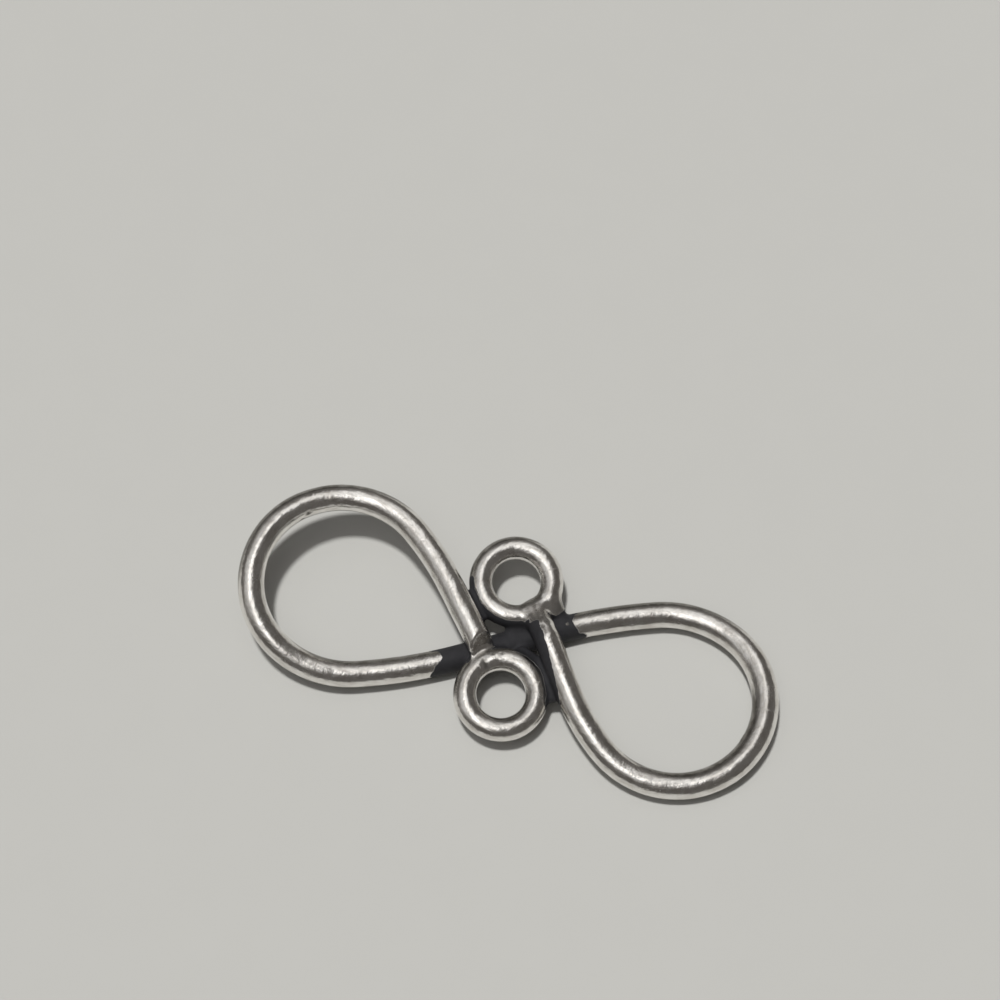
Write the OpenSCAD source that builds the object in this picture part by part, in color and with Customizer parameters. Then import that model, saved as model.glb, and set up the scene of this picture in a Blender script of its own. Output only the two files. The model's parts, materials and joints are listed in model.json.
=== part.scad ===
/* [Wire] */
// Diameter of the wire of the two loops
loop_wire_d = 1.3; // [1.2:0.01:1.31]
// Diameter of the wire of the two small rings
ring_wire_d = 1.15; // [1.1:0.01:1.18]

/* [Loops] */
// Half the length of the straight S strand in the middle
strand_half = 2.15; // [2.05:0.05:2.3]
// Where the S strand starts to turn into a loop: radius, turn in degrees, twist in degrees
strand_bend = [24.5, 12.2, -6]; // [-20:0.1:30]
// The loop's low side: radius, turn, twist
low_bend = [5, 45, -6.5]; // [-20:0.5:60]
// The round outer end of the loop: radius, turn, twist
round_bend = [4.15, 115, 7.5]; // [-20:0.05:120]
// The loop's high side: radius, turn, twist
high_bend = [4.45, 76, -13.5]; // [-20:0.05:90]
// The left loop's easy bend into its diagonal: radius, turn, twist
left_end_bend = [14.3, 13.1, 17.2]; // [-20:0.1:30]
// The right loop's easy bend into its diagonal: radius, turn, twist
right_end_bend = [9.8, 18.1, 12.5]; // [-20:0.1:30]
// How far the left diagonal stops short of the middle of the S strand
left_short = 0.15; // [0.05:0.05:0.25]
// How far before the middle of the S strand the right diagonal starts to dip into the upper ring
dip_before = 0.35; // [0.25:0.05:0.4]
// The right diagonal's dip: radius, turn
end_dip = [1.1, 50]; // [1:0.1:52]
// Share of its thickness that the right diagonal keeps at its filed tip
tip_share = 0.55; // [0.5:0.01:0.6]

/* [Rings] */
// Radius of a small ring, from its middle to the middle of its wire
ring_radius = 1.7; // [1.67:0.01:1.73]
// Width of the narrow flat worn inside a ring's eye
eye_land = 0.36; // [0.3:0.02:0.4]
// Middle of the upper ring: along the S strand, beside it and above it, from the link's middle
upper_ring = [1.25, 2.7, 0.6]; // [0.5:0.01:2.72]
// Middle of the lower ring, the same way
lower_ring = [-1.01, -2.43, 0.87]; // [-2.5:0.01:1]

/* [Solder] */
// Radius of the solder where a diagonal lies on the S strand
crossing_solder_r = 0.45; // [0.4:0.05:0.5]
// Radius of the solder in the groove between a ring and the S strand
groove_solder_r = 0.3; // [0.26:0.02:0.34]
// Radius of the bead of solder where the right diagonal dips into the upper ring
bead_r = 0.5; // [0.45:0.01:0.55]
// Radius of the neck of solder from the left diagonal's end to the lower ring
neck_r = 0.3; // [0.27:0.01:0.33]
// Lowest and highest level of the solder between a ring and the diagonal beside it
fill_levels = [0.35, 0.85]; // [0.3:0.05:0.9]

/* [Rest] */
// Lean about the S strand when the link lies on a table
lean = 6.5; // [6.1:0.1:6.9]
// Angle between the S strand and the link's length, seen from above
strand_turn = 37.5; // [36:0.5:39]

/* [Hidden] */

// Columns of a bend
RADIUS = 0;
TURN = 1;
TWIST = 2;
left_bends = [strand_bend, low_bend, round_bend, high_bend, left_end_bend];
right_bends = [strand_bend, low_bend, round_bend, high_bend, right_end_bend];

// Sides of the loops' wire, the longest step along it, and the steps of the dip
sides = 20;
step = 0.62;
dip_steps = 4;
ring_sides = 40;

wire_r = loop_wire_d / 2;
ring_wire_r = ring_wire_d / 2;
eye_r = ring_radius - sqrt(pow(ring_wire_r, 2) - pow(eye_land / 2, 2));

// Places as 4 by 4 matrices, with X along the wire and Y towards the inside of the bend
function shifted(v) = [[1, 0, 0, v[0]], [0, 1, 0, v[1]], [0, 0, 1, v[2]], [0, 0, 0, 1]];
function turned_x(a) = [[1, 0, 0, 0], [0, cos(a), -sin(a), 0], [0, sin(a), cos(a), 0], [0, 0, 0, 1]];
function turned_z(a) = [[cos(a), -sin(a), 0, 0], [sin(a), cos(a), 0, 0], [0, 0, 1, 0], [0, 0, 0, 1]];
function point_of(m, v) = [for (i = [0:2]) (m * concat(v, 1))[i]];

// The place a share of the way round a bend, seen from the bend's start
function bent(bend, share = 1) =
    turned_x(bend[TWIST]) * shifted([0, bend[RADIUS], 0])
    * turned_z(share * bend[TURN]) * shifted([0, -bend[RADIUS], 0]);

// Both halves of the wire are worked out from the middle of the S strand towards the left loop
strand_middle = turned_z(180) * turned_x(180);
function bend_start(bends, i) =
    i == 0 ? strand_middle * shifted([strand_half, 0, 0])
    : bend_start(bends, i - 1) * bent(bends[i - 1]);
function twist_to(bends, i) = i < 0 ? 0 : bends[i][TWIST] + twist_to(bends, i - 1);

// Length of a straight diagonal from its last bend to the middle of the S strand
function to_strand(start) = -point_of(start, [0, 0, 0])[1] / start[1][0];

left_start = bend_start(left_bends, len(left_bends));
right_start = bend_start(right_bends, len(right_bends));
left_twist = twist_to(left_bends, len(left_bends) - 1);
right_twist = twist_to(right_bends, len(right_bends) - 1);
left_cross = point_of(left_start, [to_strand(left_start), 0, 0]);
right_cross = point_of(right_start, [to_strand(right_start), 0, 0]);

// Stations along half of the wire: a place, the twist gathered on the way, and the thickness kept
function steps_of(length) = max(1, ceil(length / step));
function straight_stations(start, length, twist) =
    let (n = steps_of(length))
    [for (k = [1:n]) [start * shifted([length * k / n, 0, 0]), twist, 1]];
function bend_stations(bends, i) =
    let (bend = bends[i], n = steps_of(bend[RADIUS] * bend[TURN] * PI / 180))
    [for (k = [1:n]) [bend_start(bends, i) * bent(bend, k / n), twist_to(bends, i), 1]];
function loop_stations(bends) = concat(
    straight_stations(strand_middle, strand_half, 0),
    [for (i = [0:len(bends) - 1]) each bend_stations(bends, i)]
);

// The right diagonal's end turns straight down, whatever twist the wire has gathered
dip_start = right_start * shifted([to_strand(right_start) - dip_before, 0, 0]);
dip_bend = [end_dip[RADIUS], end_dip[TURN], 90 - right_twist];
dip_stations = [for (k = [1:dip_steps]) [
    dip_start * bent(dip_bend, k / dip_steps),
    right_twist + dip_bend[TWIST],
    1 - (1 - tip_share) * k / dip_steps
]];

left_stations = concat(
    loop_stations(left_bends),
    straight_stations(left_start, to_strand(left_start) - left_short, left_twist)
);
right_stations = concat(
    loop_stations(right_bends),
    straight_stations(right_start, to_strand(right_start) - dip_before, right_twist),
    dip_stations
);

// One round of points about a station; the right half is worked out as the left and turned half way round
half_turn = turned_z(180);
function left_round(s) =
    [for (k = [0:sides - 1]) let (a = k * 360 / sides - s[1])
        point_of(s[0], s[2] * wire_r * [0, cos(a), sin(a)])];
function right_round(s) =
    [for (k = [0:sides - 1]) let (a = 180 - k * 360 / sides - s[1])
        point_of(half_turn * s[0], s[2] * wire_r * [0, cos(a), sin(a)])];
function reversed(list) = [for (i = [len(list) - 1:-1:0]) list[i]];
rounds = concat(
    [for (s = reversed(left_stations)) left_round(s)],
    [for (s = right_stations) right_round(s)]
);

// Height of a point of the leaning link above the middle of the S strand
function leaning(p) = sin(lean) * p[1] + cos(lean) * p[2];
left_heights = [for (s = left_stations) leaning(point_of(s[0], [0, 0, 0]))];
right_heights = [for (s = right_stations) leaning(point_of(half_turn * s[0], [0, 0, 0]))];
rise = wire_r - min(concat(left_heights, right_heights));

// Places of the solder, seen from the middle of the S strand
strand_top = 0.4;
crossing_gap = 0.5;
groove_length = 1;
groove_share = 0.52;
bead_place = [-0.12, 0.8, -0.52];
neck_place = [-0.05, 0.3, -0.3];
neck_length = 1;
neck_dip = 20;

// Outlines of the solder between a ring and the diagonal beside it, seen from above
lower_fill = [[0.1, -0.3], [1.5, -0.3], [1.65, -2.8], [1, -2.65], [0.2, -1.2]];
upper_fill = [[-0.65, 1.75], [-1.35, 1.4], [-1.8, 3], [-0.9, 2.9]];

// The single wire that makes the S strand, both loops and both diagonals
module wire() {
    last = len(rounds) - 1;
    polyhedron(
        points = [for (r = rounds) each r],
        faces = concat(
            [[for (k = [sides - 1:-1:0]) k]],
            [for (i = [0:last - 1], k = [0:sides - 1])
                let (a = i * sides + k, b = i * sides + (k + 1) % sides)
                [a, b, b + sides, a + sides]],
            [[for (k = [0:sides - 1]) last * sides + k]]
        )
    );
}

// A small closed ring with a narrow flat inside its eye
module ring(middle) {
    translate(middle)
        rotate_extrude($fn = ring_sides)
            intersection() {
                translate([ring_radius, 0]) circle(r = ring_wire_r, $fn = ring_sides);
                translate([eye_r, -ring_wire_d]) square(2 * ring_wire_d);
            }
}

module rings() {
    ring(upper_ring);
    ring(lower_ring);
}

// Solder where a diagonal lies on the S strand
module crossing_solder(along) {
    translate([along, 0, strand_top])
        cylinder(r = crossing_solder_r, h = crossing_gap, $fn = 32);
}

// Solder along the groove between a ring and the S strand
module groove_solder(middle) {
    inner = middle[1] - sign(middle[1]) * ring_radius;
    translate([middle[0], groove_share * inner, groove_share * middle[2]])
        rotate([0, 90, 0])
            cylinder(r = groove_solder_r, h = groove_length, center = true, $fn = 24);
}

// Solder between a ring and the diagonal that passes beside it
module fill(outline) {
    translate([0, 0, fill_levels[0]])
        linear_extrude(fill_levels[1] - fill_levels[0]) polygon(outline);
}

// The neck of solder from the left diagonal's end down to the lower ring
module neck() {
    translate(left_cross + neck_place)
        rotate([90 + neck_dip, 0, 0]) cylinder(r = neck_r, h = neck_length, $fn = 24);
}

// The bead of solder where the right diagonal dips into the upper ring
module bead() {
    translate(point_of(half_turn, right_cross) + bead_place) sphere(r = bead_r, $fn = 32);
}

module solder() {
    crossing_solder(left_cross[0]);
    crossing_solder(-right_cross[0]);
    groove_solder(upper_ring);
    groove_solder(lower_ring);
    fill(lower_fill);
    fill(upper_fill);
    neck();
    bead();
}

module figure_eight_link() {
    color("silver")
        translate([0, 0, rise])
            rotate([0, 0, strand_turn])
                rotate([lean, 0, 0]) {
                    wire();
                    rings();
                    solder();
                }
}

figure_eight_link();
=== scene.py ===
import json
import math

import bpy
import numpy as np
import openvdb
from mathutils import Matrix, Vector
from mathutils.bvhtree import BVHTree


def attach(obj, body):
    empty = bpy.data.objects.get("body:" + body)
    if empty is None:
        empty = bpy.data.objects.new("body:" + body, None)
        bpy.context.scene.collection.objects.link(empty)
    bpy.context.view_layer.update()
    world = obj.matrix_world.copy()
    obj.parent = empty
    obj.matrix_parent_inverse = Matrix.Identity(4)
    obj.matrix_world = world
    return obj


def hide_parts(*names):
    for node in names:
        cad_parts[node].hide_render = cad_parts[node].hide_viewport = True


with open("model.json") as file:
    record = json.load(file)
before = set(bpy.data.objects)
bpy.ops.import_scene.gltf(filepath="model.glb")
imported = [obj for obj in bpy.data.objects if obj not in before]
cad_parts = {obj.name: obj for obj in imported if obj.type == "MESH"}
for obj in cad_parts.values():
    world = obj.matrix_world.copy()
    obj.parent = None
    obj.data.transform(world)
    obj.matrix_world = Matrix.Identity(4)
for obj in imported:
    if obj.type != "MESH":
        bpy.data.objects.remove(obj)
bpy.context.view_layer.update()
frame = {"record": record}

MM = 0.001

# The wire, in millimetres and degrees, bent in the CAD part's own order: each bend is radius, turn, twist
LOOP_WIRE_R = 0.638
STRAND_HALF = 2.15
STRAND_BEND = (24.5, 12.2, -6)
LOW_BEND = (5, 45, -6.5)
ROUND_BEND = (4.15, 115, 7.5)
HIGH_BEND = (4.45, 76, -13.5)
LEFT_END_BEND = (14.3, 13.1, 17.2)
RIGHT_END_BEND = (9.8, 18.1, 12.5)

# How far past the middle of the S strand the left diagonal ends, and how far its tube runs on to be cut
LEFT_PAST = 0.06
LEFT_SPARE = 2

# The right diagonal's dip: how far before the middle of the S strand it starts, then its radius and turn,
# and the share of its thickness that the tip keeps
DIP_BEFORE = 0.55
DIP = (1.35, 50)
TIP_SHARE = 0.5

# The rings: middles along the S strand, beside it and above it
RING_WIRE_R = 0.569
RING_RADIUS = 1.7
UPPER_RING = np.array([1.25, 2.7, 0.6])
LOWER_RING = np.array([-1.01, -2.43, 0.87])

# The narrow worn flat inside an eye, and the bevel at its edges
EYE_R = frame["record"]["mounts"][0]["dims"]["r_mm"]
EYE_BEVEL = 0.06

# How the link lies: its lean about the S strand, then the strand's turn from the link's length, at the
# height that the CAD part's wire gives it
LEAN = 6.5
STRAND_TURN = 37.5
CAD_WIRE_R = 0.65

# The mesh: the size of a voxel, how far the field is worked out beyond the surface, how many times the
# points are moved onto it, the longest step along a wire's line and the steps round a ring
VOXEL = 0.072
REACH = 0.45
SETTLING = 3
LINE_STEP = 0.12
RING_STEPS = 72

# The fillets' reach, which fades to a small share between two distances from the middle of the S strand
FILLET = 0.3
FILLET_SPAN = (4.5, 7.0)
FILLET_LEAST = 0.02

# A length that stands for nothing, one that stands for a point, and one that is beyond everything
NOTHING = 1e-9
POINT_LENGTH = 1e-6
FAR = 1e3

# The camera, as the photograph was taken: 1000 pixels square
PHOTO_SIDE = 1000
PHOTO_TURN = 21.3
ELEVATION = 66.98
FOCAL_PIXELS = 2415.5
PIXELS_PER_MM = 20.753
ORIGIN_PIXEL = (506.5, 649.3)
SENSOR_MM = 36
CLIP_M = (0.001, 10)


# Places as 4 by 4 matrices, with X along the wire and Y towards the inside of the bend
def shifted(x, y, z):
    m = np.eye(4)
    m[:3, 3] = x, y, z
    return m


def turned(axis, degrees):
    return np.array(Matrix.Rotation(math.radians(degrees), 4, axis))


def bent(bend, share=1.0):
    radius, turn, twist = bend
    return turned("X", twist) @ shifted(0, radius, 0) @ turned("Z", share * turn) @ shifted(0, -radius, 0)


def straight_line(place, length):
    steps = max(1, math.ceil(length / LINE_STEP))
    return [(place @ shifted(length * k / steps, 0, 0))[:3, 3] for k in range(1, steps + 1)]


def bend_line(place, bend):
    steps = math.ceil(bend[0] * math.radians(bend[1]) / LINE_STEP)
    return [(place @ bent(bend, k / steps))[:3, 3] for k in range(1, steps + 1)]


def to_strand(place):
    """Length of a straight diagonal from its last bend to the middle of the S strand."""
    return -place[1, 3] / place[1, 0]


def half_wire(end_bend, dip):
    """Half of the wire from the middle of the S strand: its points and radii, how many of them lead to the
    middle of the loop's round end, and the place where the straight diagonal ends."""
    place = turned("Z", 180) @ turned("X", 180)
    line = [place[:3, 3]] + straight_line(place, STRAND_HALF)
    place = place @ shifted(STRAND_HALF, 0, 0)
    twist = 0
    for bend in (STRAND_BEND, LOW_BEND, ROUND_BEND, HIGH_BEND, end_bend):
        before = len(line)
        line += bend_line(place, bend)
        place = place @ bent(bend)
        twist += bend[2]
        if bend is ROUND_BEND:
            strand_side = (before + len(line)) // 2
    length = to_strand(place) + (-DIP_BEFORE if dip else LEFT_PAST)
    line += straight_line(place, length)
    place = place @ shifted(length, 0, 0)
    radii = [LOOP_WIRE_R] * len(line)
    if dip:
        line += bend_line(place, (*DIP, 90 - twist))
        steps = len(line) - len(radii)
        radii += [LOOP_WIRE_R * (1 - (1 - TIP_SHARE) * (k + 1) / steps) for k in range(steps)]
    return np.array(line), np.array(radii), strand_side, place


def wire_tubes():
    """The wire as three tubes, the S strand with both low sides and each high side with its diagonal, and
    the place of the left diagonal's end."""
    left, left_radii, cut, left_end = half_wire(LEFT_END_BEND, False)
    right, right_radii, cut, _ = half_wire(RIGHT_END_BEND, True)
    right = right * [-1, -1, 1]
    strand = np.concatenate([left[cut:0:-1], right[: cut + 1]])
    past_end = left_end[:3, 3] + LEFT_SPARE * left_end[:3, 0]
    tubes = {
        "strand": (strand, np.full(len(strand), LOOP_WIRE_R)),
        "left": (np.vstack([left[cut:], past_end]), np.append(left_radii[cut:], LOOP_WIRE_R)),
        "right": (right[cut:], right_radii[cut:]),
    }
    return tubes, left_end


TUBES, LEFT_END = wire_tubes()

# The pieces that the solder joins
PIECES = ("strand", "left", "right", "upper_ring", "lower_ring")

# Solder: short runs between the pieces, as start, end, start radius, end radius
SOLDER = {
    "lower_fill": ((0.6, -0.75, 0.55), (1.3, -1.7, 0.7), 0.32, 0.32),
    "lower_web": ((1.3, -1.7, 0.7), (1.42, -2.4, 0.85), 0.3, 0.26),
    "lower_tail": ((1.42, -2.4, 0.85), (1.3, -3.25, 0.85), 0.28, 0.22),
    "upper_fill": ((-0.98, 1.4, 0.62), (-1.15, 2.6, 0.72), 0.28, 0.26),
    "upper_groove": ((0.5, 0.5, 0.3), (1.9, 0.5, 0.3), 0.32, 0.32),
    "lower_groove": ((-1.5, -0.38, 0.45), (-0.5, -0.38, 0.45), 0.3, 0.3),
    "neck": ((-1.35, 0.05, 0.75), (-1.15, -0.6, 0.8), 0.32, 0.3),
    "patch": ((1.76, 0.15, 1.08), (1.68, 1.05, 0.7), 0.6, 0.58),
    "knob": ((2.72, 1.32, 0.75), (2.85, 0.6, 0.35), 0.3, 0.28),
    "knob_fill": ((1.9, 0.85, 0.6), (2.7, 0.95, 0.5), 0.34, 0.3),
}

# The left diagonal's cut end faces along the wire and up, and a little to the right, and the cut is made
# only this near to the end
END_NORMAL = LEFT_END[:3, 0] + np.array([0.35, 0, 0.85])
END_NORMAL /= np.linalg.norm(END_NORMAL)
END_REACH = 3
END_BEVEL = 0.08


def capsule(points, a, b, ra, rb):
    """Distance from each point to a round rod, and the direction straight away from it."""
    ab = b - a
    share = np.clip((points - a) @ ab / (ab @ ab), 0, 1)
    away = points - a - share[..., None] * ab
    length = np.sqrt((away * away).sum(-1)) + NOTHING
    return length - ra - share * (rb - ra), away / length[..., None]


def nearer(a, b):
    closer = b[0] < a[0]
    return np.where(closer, b[0], a[0]), np.where(closer[..., None], b[1], a[1])


def segments(tube):
    line, radii = tube
    return zip(line[:-1], line[1:], radii[:-1], radii[1:])


def tube_at(points, tube):
    """A tube's distance and direction, for any points."""
    best = (np.full(points.shape[:-1], FAR, np.float32), np.zeros(points.shape, np.float32))
    for segment in segments(tube):
        best = nearer(best, capsule(points, *segment))
    return best


def tube_on_grid(points, tube):
    """The same on a grid of points, where only the block about each segment is worked out."""
    distance = np.full(points.shape[:-1], 2 * REACH, np.float32)
    direction = np.zeros(points.shape, np.float32)
    low = points[0, 0, 0]
    for a, b, ra, rb in segments(tube):
        reach = max(ra, rb) + REACH
        first = np.floor((np.minimum(a, b) - reach - low) / VOXEL).astype(int).clip(0)
        last = np.ceil((np.maximum(a, b) + reach - low) / VOXEL).astype(int)
        block = tuple(slice(f, l) for f, l in zip(first, last))
        found = nearer((distance[block], direction[block]), capsule(points[block], a, b, ra, rb))
        distance[block], direction[block] = found
    return distance, direction


def ring_at(points, middle):
    """A ring of round wire, with the narrow worn flat inside its eye."""
    p = points - middle
    rho = np.sqrt(p[..., 0] ** 2 + p[..., 1] ** 2) + NOTHING
    outward = np.stack([p[..., 0] / rho, p[..., 1] / rho, 0 * rho], -1)
    across = (rho - RING_RADIUS)[..., None] * outward + p[..., 2:] * np.array([0, 0, 1])
    length = np.sqrt((across * across).sum(-1)) + NOTHING
    wire = (length - RING_WIRE_R, across / length[..., None])
    flat = (EYE_R - rho, -outward)
    return cut_by(wire, flat, EYE_BEVEL)


def joined(a, b, reach):
    """Two shapes run together with a fillet of that reach."""
    share = np.clip(0.5 + 0.5 * (b[0] - a[0]) / reach, 0, 1)
    distance = b[0] + (a[0] - b[0]) * share - reach * share * (1 - share)
    return distance, b[1] + (a[1] - b[1]) * share[..., None]


def cut_by(a, b, bevel):
    """What two shapes share, with a bevel on the edge between them."""
    distance, direction = joined((-a[0], -a[1]), (-b[0], -b[1]), bevel)
    return -distance, -direction


def parts_at(points, tube_distance):
    """The distance and direction of every piece and run of solder, by name."""
    parts = {name: tube_distance(points, tube) for name, tube in TUBES.items()}
    from_end = points - LEFT_END[:3, 3]
    beyond = np.where((from_end * from_end).sum(-1) < END_REACH ** 2, from_end @ END_NORMAL, -1.0)
    parts["left"] = cut_by(parts["left"], (beyond, np.broadcast_to(END_NORMAL, points.shape)), END_BEVEL)
    parts["upper_ring"] = ring_at(points, UPPER_RING)
    parts["lower_ring"] = ring_at(points, LOWER_RING)
    for name, (a, b, ra, rb) in SOLDER.items():
        parts[name] = capsule(points, np.array(a), np.array(b), ra, rb)
    return parts


def fillet_at(points):
    """The fillets fade out away from the crossing, so the wire's own joins leave no bulge."""
    away = np.sqrt((points * points).sum(-1))
    low, high = FILLET_SPAN
    return FILLET * np.clip((high - away) / (high - low), FILLET_LEAST, 1)


def whole(parts, points):
    """All the parts run together."""
    reach = fillet_at(points)
    found = None
    for part in parts.values():
        found = part if found is None else joined(found, part, reach)
    return found


def lying():
    """From the link's own frame to the table's, in millimetres."""
    lean = turned("X", LEAN)
    heights = [(line @ lean[2, :3]).min() for line, radii in TUBES.values()]
    return shifted(0, 0, CAD_WIRE_R - min(heights)) @ turned("Z", STRAND_TURN) @ lean


LYING = lying()


def surface():
    """Points and quads of the link, first from voxels and then moved onto the true surface."""
    margin = LOOP_WIRE_R + REACH
    low = np.min([line.min(0) for line, radii in TUBES.values()], 0) - margin
    high = np.max([line.max(0) for line, radii in TUBES.values()], 0) + margin
    low[1] = min(low[1], LOWER_RING[1] - RING_RADIUS - margin)
    high[1] = max(high[1], UPPER_RING[1] + RING_RADIUS + margin)
    axes = [np.arange(a, b, VOXEL, dtype=np.float32) for a, b in zip(low, high)]
    grid = np.stack(np.meshgrid(*axes, indexing="ij"), -1)
    field = whole(parts_at(grid, tube_on_grid), grid)[0]
    volume = openvdb.FloatGrid(REACH)
    volume.copyFromArray(np.clip(field, -REACH, REACH).astype(np.float32))
    points, quads = volume.convertToQuads(isovalue=0.0)
    points = points * VOXEL + low
    for turn in range(SETTLING):
        distance, direction = whole(parts_at(points, tube_at), points)
        direction /= np.linalg.norm(direction, axis=1)[:, None] + NOTHING
        points = points - distance[:, None] * direction
    return points, quads, direction


# The shortest and the longest wave as shares of the length asked for, and what the waves' sum is divided by
WAVE_LENGTHS = (0.7, 1.4)
WAVE_LEVEL = 1.5


def waves(points, length, count, seed):
    """Soft random waves through space, each about that long, mostly between -1 and 1."""
    chance = np.random.default_rng(seed)
    ways = chance.normal(size=(count, 3))
    ways /= np.linalg.norm(ways, axis=1)[:, None]
    rates = 2 * math.pi / (length * chance.uniform(*WAVE_LENGTHS, count))
    phases = chance.uniform(0, 2 * math.pi, count)
    return np.sin(points @ (ways * rates[:, None]).T + phases).sum(1) / math.sqrt(count) / WAVE_LEVEL


def camera_axes():
    """The camera's place in millimetres and its right, up and forward directions."""
    e = math.radians(ELEVATION)
    forward = np.array([0, math.cos(e), -math.sin(e)])
    right = np.array([1.0, 0, 0])
    up = np.cross(right, forward)
    across = (ORIGIN_PIXEL[0] - PHOTO_SIDE / 2) / FOCAL_PIXELS
    down = (ORIGIN_PIXEL[1] - PHOTO_SIDE / 2) / FOCAL_PIXELS
    place = -FOCAL_PIXELS / PIXELS_PER_MM * (across * right - down * up + forward)
    turn = turned("Z", PHOTO_TURN)[:3, :3]
    return turn @ place, turn @ right, turn @ up, turn @ forward


def ray_through(pixel):
    place, right, up, forward = camera_axes()
    x = (pixel[0] - PHOTO_SIDE / 2) / FOCAL_PIXELS
    y = (pixel[1] - PHOTO_SIDE / 2) / FOCAL_PIXELS
    way = forward + x * right - y * up
    return place, way / np.linalg.norm(way)


def under(tree, pixel):
    """The point of the link that the photograph shows at a pixel."""
    place, way = ray_through(pixel)
    hit = tree.ray_cast(Vector(place), Vector(way))[0]
    return None if hit is None else np.array(hit)


# Marks on the metal: the photograph's pixels of both ends, then width and depth in millimetres
MARKS = {
    "first_loop_pit": ((302.5, 519.5), (303.5, 519), 0.09, 0.04),
    "second_loop_pit": ((307.5, 514), (308.5, 513), 0.1, 0.05),
    "loop_scratch": ((322, 511), (337, 508), 0.06, 0.02),
    "first_patch_pit": ((542, 616.6), (542, 616.6), 0.09, 0.03),
    "second_patch_pit": ((546.6, 621), (546.6, 621), 0.09, 0.03),
    "third_patch_pit": ((542, 625.4), (542, 625.4), 0.1, 0.03),
    "first_ring_pit": ((492, 653.6), (492, 653.6), 0.08, 0.03),
    "second_ring_pit": ((501, 653.6), (501, 653.6), 0.08, 0.03),
    "notch": ((484, 660), (486.5, 667), 0.16, 0.05),
    "left_diagonal_nick": ((431, 574), (433, 577), 0.08, -0.03),
    "right_loop_nick": ((642, 767), (650, 770), 0.08, -0.03),
    "right_end_nick": ((741, 740), (744, 735), 0.08, -0.03),
    "end_bead": ((472.6, 647.6), (472.6, 647.6), 0.12, -0.03),
    "ring_bead": ((542, 594), (542, 594), 0.1, -0.03),
}

# Pits deeper than this hold dark dirt, and a depth below 0 is a raised burr
DIRTY_DEPTH = 0.025

# The surface as a hand leaves it: depth and length of its waves in millimetres, their number and their seed
HAND_WORK = ((0.004, 2.4, 10, 11), (0.0015, 0.9, 14, 12))


def smooth(value, low, high):
    t = np.clip((value - low) / (high - low), 0, 1)
    return t * t * (3 - 2 * t)


def within(value, full, none):
    """Full up to the first edge, and nothing from the second on."""
    return smooth(-value, -none, -full)


# The blackening, in millimetres unless it says otherwise, with the edges over which each thing fades.
# First the edges where one piece gives way to its neighbour
OWN_EDGES = (-0.05, 0.1)

# The black band on the S strand: where beside the wire's middle line its ends start to slant, how far
# the slants go on the low and the high side, its edges, and the depth, length and number of its wavers
BAND_SPLIT = 0.12
BAND_LOW_SIDE = 0.62
BAND_HIGH_SIDE = 0.4
BAND_EDGES = (-0.1, 0.1)
WAVER = 0.08
WAVER_LENGTH = 0.6
WAVER_COUNT = 5

# The band's two ends: the place along the strand, the slants on its low and its high side, and a seed
BAND_LEFT_END = (-3.14, -1.2, -0.45, 3)
BAND_RIGHT_END = (3.3, 0.3, 0.6, 4)

# The solder that is black all over, and the black on it and on the neck
BLACK_SOLDER = ("lower_fill", "lower_web", "lower_tail", "upper_fill", "upper_groove", "lower_groove")
ON_SOLDER = (0.2, 0.34)
ON_NECK = (0.04, 0.14)

# The black flanks: how near the solder or a neighbour is, how far up a flank may face, as the height of its
# direction, and how far it is from the middle, which lies beside the S strand
NEAR_SOLDER = (0.35, 0.7)
NEAR_PIECE = (0.2, 0.5)
FLANK_HEIGHTS = (0.52, 0.82)
BLACK_MIDDLE_Y = -0.5
BLACK_MIDDLE_REACH = (3.4, 4.2)

# The right diagonal's black side faces the photograph's left, given here in the link's own frame. It narrows
# towards the loop: for each millimetre, from a start and over a length, a surface has to face left by so much
# more. Last come the two ends of the black across the strand, and its edge on the patch of solder
PHOTO_LEFT = np.array([-0.96, 0.28, 0])
SIDE_FACING = (0.15, 0.4)
SIDE_NARROWING = 0.2
SIDE_NARROWS_FROM = -1
SIDE_NARROWS_OVER = 3
SIDE_LOW_END = (-3.9, -3.1)
SIDE_HIGH_END = (0.3, 0.6)
ON_PATCH = (0, 0.12)

# The black outside of the upper ring's wire: the side of the ring that has it, and how far it faces
BLACK_RING_SIDE = np.array([-0.8, -0.6, 0])
RING_FACING = (0.4, 0.65)
RING_OUTSIDE = (0.45, 0.7)

# The left diagonal's cut end: how far a surface faces as it does, and how near to the end it lies
FACET_FACING = (0.6, 0.85)
FACET_REACH = (0.75, 0.95)

# A spot worn grey in the black band, and how much of the black is worn off there
WORN_SPOT = np.array([3.05, 0.05, 0.64])
WORN_SPOT_R = 0.2
WORN_OFF = 0.5

# Grey spots: the middle, the radius and how grey. The worn spot, the end patch and the knob are dull metal,
# and the end flank spot only makes the flank below the right diagonal's tip darker
GREY_SPOTS = {
    "worn_spot": (WORN_SPOT, WORN_SPOT_R, 1.0),
    "end_patch": (np.array([2.0, 0.4, 1.5]), 0.45, 0.5),
    "end_flank": (np.array([2.3, 0.3, 1.0]), 0.6, 0.85),
    "knob": (np.array([2.75, 1.0, 0.6]), 0.7, 0.9),
}

# Painted shade: the flanks that face this way on the table, towards the photograph's top and a little to its
# left, are darkened grey, and this is how far a surface has to face it
PAINTED_SHADE_SIDE = np.array([-0.75, 0.66, 0])
PAINTED_SHADE_FACING = (0.2, 0.45)

# The fine streaks are drawn out along the wire, which for them is this share of its length
GRAIN_SQUEEZE = 0.12


def own_share(parts, name):
    """Where a piece is the nearest of those that the solder joins."""
    others = [parts[n][0] for n in PIECES if n != name]
    return smooth(np.min(others, 0) - parts[name][0], *OWN_EDGES)


def end_facet(points, direction):
    """The left diagonal's cut end, which the blackening has been wiped from."""
    near_end = within(np.linalg.norm(points - LEFT_END[:3, 3], axis=1), *FACET_REACH)
    return smooth(direction @ END_NORMAL, *FACET_FACING) * near_end


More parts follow.
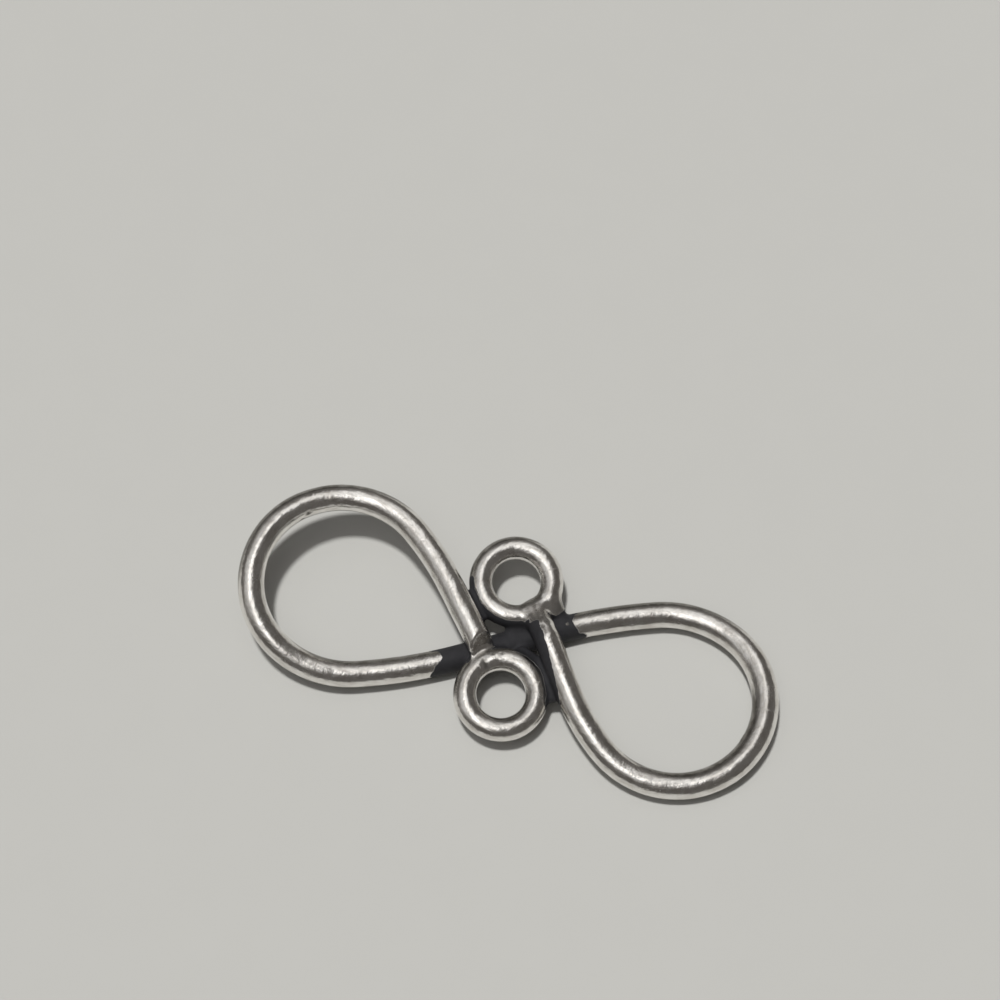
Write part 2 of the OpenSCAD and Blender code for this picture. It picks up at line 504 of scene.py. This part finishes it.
def band_end(points, place, low_slant, high_slant, seed):
    low_side = np.clip(BAND_SPLIT - points[:, 1], 0, BAND_LOW_SIDE)
    high_side = np.clip(points[:, 1] - BAND_SPLIT, 0, BAND_HIGH_SIDE)
    waver = WAVER * waves(points, WAVER_LENGTH, WAVER_COUNT, seed)
    return place + low_slant * low_side + high_slant * high_side + waver


def black_band(points, parts):
    """The black band round the middle of the S strand."""
    past_left = points[:, 0] - band_end(points, *BAND_LEFT_END)
    before_right = band_end(points, *BAND_RIGHT_END) - points[:, 0]
    return own_share(parts, "strand") * (smooth(past_left, *BAND_EDGES) * smooth(before_right, *BAND_EDGES))


def black_joints(points, parts, direction):
    """The solder between the pieces, and the flanks that face it or a neighbour."""
    solder = np.min([parts[n][0] for n in BLACK_SOLDER], 0)
    neighbour = np.sort(np.stack([parts[n][0] for n in PIECES if n != "strand"]), 0)[1]
    on_solder = np.maximum(within(solder, *ON_SOLDER), within(parts["neck"][0], *ON_NECK))
    near = np.maximum(within(solder, *NEAR_SOLDER), within(parts["strand"][0], *NEAR_PIECE))
    near = np.maximum(near, within(neighbour, *NEAR_PIECE))
    flank = within(direction[:, 2], *FLANK_HEIGHTS)
    from_middle = np.hypot(points[:, 0], points[:, 1] - BLACK_MIDDLE_Y)
    return np.maximum(on_solder, near * flank * within(from_middle, *BLACK_MIDDLE_REACH))


def black_side(points, parts, direction):
    """The side of the right diagonal, and of the solder on its tip, that faces the photograph's left."""
    y = points[:, 1]
    narrowing = SIDE_NARROWING * np.clip(SIDE_NARROWS_FROM - y, 0, SIDE_NARROWS_OVER)
    facing = smooth(direction @ PHOTO_LEFT - narrowing, *SIDE_FACING)
    side = np.maximum(own_share(parts, "right"), within(parts["patch"][0], *ON_PATCH))
    return side * (facing * smooth(y, *SIDE_LOW_END) * within(y, *SIDE_HIGH_END))


def black_ring(points, parts, direction):
    """The outside of the upper ring's wire, on the side of the ring that is black all the way down."""
    outward = points - UPPER_RING
    outward[:, 2] = 0
    outward /= np.linalg.norm(outward, axis=1)[:, None] + NOTHING
    outside = own_share(parts, "upper_ring") * smooth((direction * outward).sum(1), *RING_OUTSIDE)
    return outside * smooth(outward @ BLACK_RING_SIDE, *RING_FACING)


def patina_at(points, parts, direction):
    """Where the blackening is left: round the S strand's middle and down between the pieces."""
    kinds = [
        black_band(points, parts),
        black_joints(points, parts, direction),
        black_side(points, parts, direction),
        black_ring(points, parts, direction),
    ]
    return np.maximum.reduce(kinds) * (1 - end_facet(points, direction))


def spot_at(points, middle, radius):
    """A round spot that fades outside its inner third."""
    return within(np.linalg.norm(points - middle, axis=1), radius / 3, radius)


def tarnish_and_painted_shade_at(points, direction):
    """Painted shade in thin grey on the flanks that face one way, and the grey spots."""
    # Painted shade: the flanks that face one way are greyed as if they lay in shade
    dirt_tarnish_and_painted_shade = smooth(direction @ LYING[:3, :3].T @ PAINTED_SHADE_SIDE, *PAINTED_SHADE_FACING)
    for middle, radius, greyness in GREY_SPOTS.values():
        dirt_tarnish_and_painted_shade = np.maximum(dirt_tarnish_and_painted_shade, greyness * spot_at(points, middle, radius))
    return dirt_tarnish_and_painted_shade


def ring_line(middle):
    angles = np.linspace(0, 2 * math.pi, RING_STEPS + 1)
    line = middle + RING_RADIUS * np.stack([np.cos(angles), np.sin(angles), 0 * angles], 1)
    return line, np.full(len(line), RING_WIRE_R)


def grain_at(points):
    """Places for the fine streaks along the wire: across the wire as it is, and squeezed along it."""
    nearest = np.full(len(points), np.inf)
    grain = np.zeros(points.shape)
    for tube in [*TUBES.values(), ring_line(UPPER_RING), ring_line(LOWER_RING)]:
        along = 0
        for a, b, ra, rb in segments(tube):
            length = np.linalg.norm(b - a)
            share = np.clip((points - a) @ (b - a) / length ** 2, 0, 1)
            away = points - a - share[:, None] * (b - a)
            distance = (away * away).sum(1)
            closer = distance < nearest
            nearest[closer] = distance[closer]
            run = GRAIN_SQUEEZE * (along + share[closer] * length)
            grain[closer] = away[closer] + run[:, None]
            along += length
    return grain


def build_link():
    points, quads, direction = surface()
    parts = parts_at(points, tube_at)
    worn = WORN_OFF * spot_at(points, WORN_SPOT, WORN_SPOT_R)
    patina = patina_at(points, parts, direction) * (1 - worn)
    # This grey holds painted shade on the flanks that face one way, as well as tarnish and dirt
    dirt_tarnish_and_painted_shade = tarnish_and_painted_shade_at(points, direction)
    grain = grain_at(points)
    hand = sum(-depth * (1 + waves(points, length, count, seed)) for depth, length, count, seed in HAND_WORK)
    points = points + hand[:, None] * direction
    points = points @ LYING[:3, :3].T + LYING[:3, 3]
    direction = direction @ LYING[:3, :3].T
    tree = BVHTree.FromPolygons(points.tolist(), quads.tolist())
    for name, (start, end, width, depth) in MARKS.items():
        first, last = under(tree, start), under(tree, end)
        if first is None or last is None:
            print("no metal at", name)
            continue
        away = capsule(points, first, last + POINT_LENGTH, 0, 0)[0]
        share = np.exp(-(away / width) ** 2)
        points = points - depth * share[:, None] * direction
        if depth > DIRTY_DEPTH:
            dirt_tarnish_and_painted_shade = np.maximum(dirt_tarnish_and_painted_shade, share)
    mesh = bpy.data.meshes.new("link")
    mesh.from_pydata((points * MM).tolist(), [], quads.tolist())
    mesh.validate()
    mesh.shade_smooth()
    mesh.attributes.new("patina", "FLOAT", "POINT").data.foreach_set("value", patina.astype(np.float32))
    mesh.attributes.new("dirt_tarnish_and_painted_shade", "FLOAT", "POINT").data.foreach_set("value", dirt_tarnish_and_painted_shade.astype(np.float32))
    grain = grain.astype(np.float32).ravel()
    mesh.attributes.new("grain", "FLOAT_VECTOR", "POINT").data.foreach_set("vector", grain)
    link = bpy.data.objects.new("link", mesh)
    bpy.context.scene.collection.objects.link(link)
    return link


class Nodes:
    """Short words for building the nodes of a material or of the world."""

    def __init__(self, owner, shader):
        owner.use_nodes = True
        self.tree = owner.node_tree
        self.shader = self.tree.nodes[shader]

    def add(self, kind, inputs=(), **settings):
        node = self.tree.nodes.new(kind)
        for key, value in settings.items():
            setattr(node, key, value)
        for key, value in dict(inputs).items():
            self.put(node.inputs[key], value)
        return node

    def put(self, socket, value):
        if isinstance(value, bpy.types.NodeSocket):
            self.tree.links.new(value, socket)
        else:
            socket.default_value = value

    def in_mm(self):
        place = self.add("ShaderNodeTexCoord").outputs["Object"]
        return self.add("ShaderNodeMapping", {"Vector": place, "Scale": [1 / MM] * 3}).outputs["Vector"]

    def noise(self, scale, detail=3.0, roughness=0.55, distortion=0.0, place=None):
        inputs = {"Vector": place or self.in_mm(), "Scale": scale, "Detail": detail}
        inputs.update({"Roughness": roughness, "Distortion": distortion})
        return self.add("ShaderNodeTexNoise", inputs).outputs["Fac"]

    def math(self, operation, a, b):
        node = self.add("ShaderNodeMath", operation=operation)
        self.put(node.inputs[0], a)
        self.put(node.inputs[1], b)
        return node.outputs[0]

    def span(self, value, low, high, to_low=0.0, to_high=1.0, soft=False):
        inputs = {"Value": value, "From Min": low, "From Max": high, "To Min": to_low, "To Max": to_high}
        kind = "SMOOTHSTEP" if soft else "LINEAR"
        return self.add("ShaderNodeMapRange", inputs, interpolation_type=kind).outputs["Result"]

    def dot(self, a, b):
        node = self.add("ShaderNodeVectorMath", operation="DOT_PRODUCT")
        self.put(node.inputs[0], a)
        self.put(node.inputs[1], b)
        return node.outputs["Value"]

    def blend(self, kind, share, a, b):
        node = self.add("ShaderNodeMix", data_type=kind)
        self.put(node.inputs["Factor"], share)
        self.put(node.inputs["A"], a)
        self.put(node.inputs["B"], b)
        return node.outputs["Result"]

    def colour(self, share, a, b):
        return self.blend("RGBA", share, a, b)

    def number(self, share, a, b):
        return self.blend("FLOAT", share, a, b)

    def bump(self, height, strength, depth_mm, normal=None):
        inputs = {"Height": height, "Strength": strength, "Distance": depth_mm * MM}
        if normal is not None:
            inputs["Normal"] = normal
        return self.add("ShaderNodeBump", inputs).outputs["Normal"]


# Colours as the shaders take them: of the metal, of its tarnish and painted shade, of its black, and of the
# table
SILVER = (0.94, 0.92, 0.89, 1)
STAINED_SILVER = (0.72, 0.69, 0.65, 1)
TARNISH_AND_PAINTED_SHADE = (0.15, 0.14, 0.125, 1)
BLACK = (0.018, 0.018, 0.02, 1)
GREY_BLACK = (0.032, 0.032, 0.036, 1)
TABLE = (0.43, 0.43, 0.417, 1)
TABLE_SHADE = (0.42, 0.42, 0.407, 1)

# Most of a noise lies in the first span, and most of the product of two of them in the second
NOISE_SPAN = (0.3, 0.7)
STAIN_SPAN = (0.17, 0.36)

# How ragged the edge of the black is and the span over which it comes in, the part of a noise over which the
# tarnish and painted shade thicken, and their share where they are thinnest
RAGGED = 0.16
BLACK_SPAN = (0.42, 0.6)
TARNISH_AND_SHADE_SPAN = (0.25, 0.6)
THIN_TARNISH_AND_SHADE = 0.7

# How metallic the tarnish and painted shade and the black are, and how rough the satin polish, its streaks
# and the black
TARNISH_AND_SHADE_METALLIC = 0.85
BLACK_METALLIC = 0.2
SATIN = (0.14, 0.27)
STREAKS = (-0.05, 0.05)
BLACK_ROUGHNESS = 0.6


def silver_material():
    """Satin-polished silver with fine streaks along the wire, flanks greyed by painted shade, tarnish and a
    blackened middle.
    """
    material = bpy.data.materials.new("silver")
    n = Nodes(material, "Principled BSDF")
    patina = n.add("ShaderNodeAttribute", attribute_name="patina").outputs["Fac"]
    ragged = n.math("ADD", patina, n.span(n.noise(scale=4.0, detail=5.0), *NOISE_SPAN, -RAGGED, RAGGED))
    black = n.span(ragged, *BLACK_SPAN)
    # This attribute greys the metal for tarnish, dirt in pits and painted shade on one side's flanks
    side = n.add("ShaderNodeAttribute", attribute_name="dirt_tarnish_and_painted_shade").outputs["Fac"]
    patchy = n.span(n.noise(scale=1.8, detail=4.0), *TARNISH_AND_SHADE_SPAN, THIN_TARNISH_AND_SHADE, 1.0)
    dirt_tarnish_and_painted_shade = n.math("MULTIPLY", side, patchy)
    place = n.add("ShaderNodeAttribute", attribute_name="grain").outputs["Vector"]
    blotches = n.noise(scale=1.6, detail=4.0, roughness=0.6)
    stain = n.math("MULTIPLY", blotches, n.noise(scale=4.5, detail=5.0, roughness=0.65, place=place))
    metal = n.colour(n.span(stain, *STAIN_SPAN), SILVER, STAINED_SILVER)
    soot = n.colour(n.noise(scale=4.0, detail=4.0), BLACK, GREY_BLACK)
    n.put(n.shader.inputs["Base Color"], n.colour(black, n.colour(dirt_tarnish_and_painted_shade, metal, TARNISH_AND_PAINTED_SHADE), soot))
    metallic = n.span(dirt_tarnish_and_painted_shade, 0, 1, 1.0, TARNISH_AND_SHADE_METALLIC)
    n.put(n.shader.inputs["Metallic"], n.number(black, metallic, BLACK_METALLIC))
    streaks = n.noise(scale=9.0, detail=4.0, roughness=0.6, place=place)
    satin = n.span(n.noise(scale=1.3, detail=4.0, roughness=0.6), *NOISE_SPAN, *SATIN)
    satin = n.math("ADD", satin, n.span(streaks, *NOISE_SPAN, *STREAKS))
    n.put(n.shader.inputs["Roughness"], n.number(black, satin, BLACK_ROUGHNESS))
    ripple = n.noise(scale=1.1, detail=2.0, roughness=0.5, distortion=0.4)
    hammered = n.noise(scale=3.2, detail=3.0, roughness=0.6, distortion=0.4)
    pores = n.noise(scale=14.0, detail=3.0, roughness=0.6)
    normal = n.bump(ripple, strength=0.5, depth_mm=0.06)
    normal = n.bump(hammered, strength=0.5, depth_mm=0.03, normal=normal)
    normal = n.bump(streaks, strength=0.5, depth_mm=0.012, normal=normal)
    normal = n.bump(pores, strength=0.3, depth_mm=0.003, normal=normal)
    n.put(n.shader.inputs["Normal"], normal)
    return material


# The table: half its side in metres, and its surface
TABLE_HALF = 1.5
TABLE_ROUGHNESS = 0.6
TABLE_SPECULAR = 0.25


def table_material():
    material = bpy.data.materials.new("table")
    n = Nodes(material, "Principled BSDF")
    speckle = n.noise(scale=0.35, detail=5.0)
    n.put(n.shader.inputs["Base Color"], n.colour(speckle, TABLE, TABLE_SHADE))
    n.put(n.shader.inputs["Roughness"], TABLE_ROUGHNESS)
    n.put(n.shader.inputs["Specular IOR Level"], TABLE_SPECULAR)
    return material


def build_table():
    mesh = bpy.data.meshes.new("table")
    corners = [(x * TABLE_HALF, y * TABLE_HALF, 0) for x, y in ((-1, -1), (1, -1), (1, 1), (-1, 1))]
    mesh.from_pydata(corners, [], [(0, 1, 2, 3)])
    mesh.materials.append(table_material())
    table = bpy.data.objects.new("table", mesh)
    bpy.context.scene.collection.objects.link(table)


# The key light, as degrees from straight above towards the photograph's right and its top
KEY_TILT = (-8, 7)
KEY_ANGLE = 6
KEY_STRENGTH = 3.1
KEY_COLOUR = (1.0, 0.99, 0.965)

# The soft light of the room, as strengths: everywhere, in a bright strip across the ceiling, in a dimmer
# patch beside it, and in a glare
ROOM = 0.1
STRIP = 0.8
PATCH = 0.4
GLARE = 0.6

# The way that the strip runs and the way to the glare, in the photograph's frame
STRIP_WAY = (0.38, 0.92, 0)
GLARE_WAY = (-0.17, -0.15, 0.97)

# Where the strip and the patch start, are full, start to fade and end, across the strip and along it, and
# where the glare and all the light above the table start and are full
STRIP_EDGES = (-0.24, -0.04, 0.16, 0.36)
STRIP_ENDS = (-0.8, -0.35, 0.4, 0.95)
PATCH_EDGES = (0.2, 0.36, 0.6, 0.9)
PATCH_ENDS = (-0.8, -0.45, 0.2, 0.6)
GLARE_EDGES = (0.93, 0.995)
ABOVE_TABLE = (0.0, 0.15)

# The colours of the dim room and of its lamps, and the light at which one has given way to the other
WARM_ROOM = (1.0, 0.94, 0.88, 1)
LAMP = (1.0, 0.985, 0.965, 1)
LAMP_LIGHT = 0.3


def on_table(way):
    """A direction of the photograph's, turned as the link lies."""
    return Vector(turned("Z", PHOTO_TURN)[:3, :3] @ np.array(way, float)).normalized()


def build_room():
    world = bpy.data.worlds.new("room")
    n = Nodes(world, "Background")
    way = n.add("ShaderNodeTexCoord").outputs["Generated"]
    along = n.dot(way, on_table(STRIP_WAY))
    across = n.dot(way, on_table((-STRIP_WAY[1], STRIP_WAY[0], 0)))
    above = n.span(n.dot(way, (0, 0, 1)), *ABOVE_TABLE, soft=True)

    def between(value, edges):
        rise = n.span(value, edges[0], edges[1], soft=True)
        fall = n.span(value, edges[2], edges[3], 1.0, 0.0, soft=True)
        return n.math("MULTIPLY", rise, fall)

    def lamp(strength, edges, ends):
        shape = n.math("MULTIPLY", between(across, edges), between(along, ends))
        return n.math("MULTIPLY", n.math("MULTIPLY", shape, above), strength)

    glare = n.span(n.dot(way, on_table(GLARE_WAY)), *GLARE_EDGES, 0.0, GLARE, soft=True)
    light = n.math("ADD", lamp(STRIP, STRIP_EDGES, STRIP_ENDS), lamp(PATCH, PATCH_EDGES, PATCH_ENDS))
    light = n.math("ADD", light, glare)
    n.put(n.shader.inputs["Color"], n.colour(n.span(light, 0.0, LAMP_LIGHT), WARM_ROOM, LAMP))
    n.put(n.shader.inputs["Strength"], n.math("ADD", light, ROOM))
    bpy.context.scene.world = world


def build_key():
    """The key light throws the shadow, and the metal reflects only the room."""
    key = bpy.data.lights.new("key", "SUN")
    key.energy = KEY_STRENGTH
    key.angle = math.radians(KEY_ANGLE)
    key.color = KEY_COLOUR
    sun = bpy.data.objects.new("key", key)
    sun.visible_glossy = False
    tilt = [math.tan(math.radians(degrees)) for degrees in KEY_TILT]
    sun.rotation_euler = on_table((tilt[0], tilt[1], 1)).to_track_quat("Z", "Y").to_euler()
    bpy.context.scene.collection.objects.link(sun)


def build_camera():
    place, right, up, forward = camera_axes()
    data = bpy.data.cameras.new("camera")
    data.sensor_width = SENSOR_MM
    data.lens = FOCAL_PIXELS * SENSOR_MM / PHOTO_SIDE
    data.clip_start, data.clip_end = CLIP_M
    camera = bpy.data.objects.new("camera", data)
    turn = Matrix(np.stack([right, up, -forward], 1).tolist()).to_4x4()
    camera.matrix_world = Matrix.Translation(Vector(place * MM)) @ turn
    bpy.context.scene.collection.objects.link(camera)
    bpy.context.scene.camera = camera


bpy.context.scene.view_settings.view_transform = "Standard"
build_camera()
build_room()
build_key()
build_table()
link = build_link()
link.data.materials.append(silver_material())
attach(link, "root")
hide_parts("figure_eight_link")
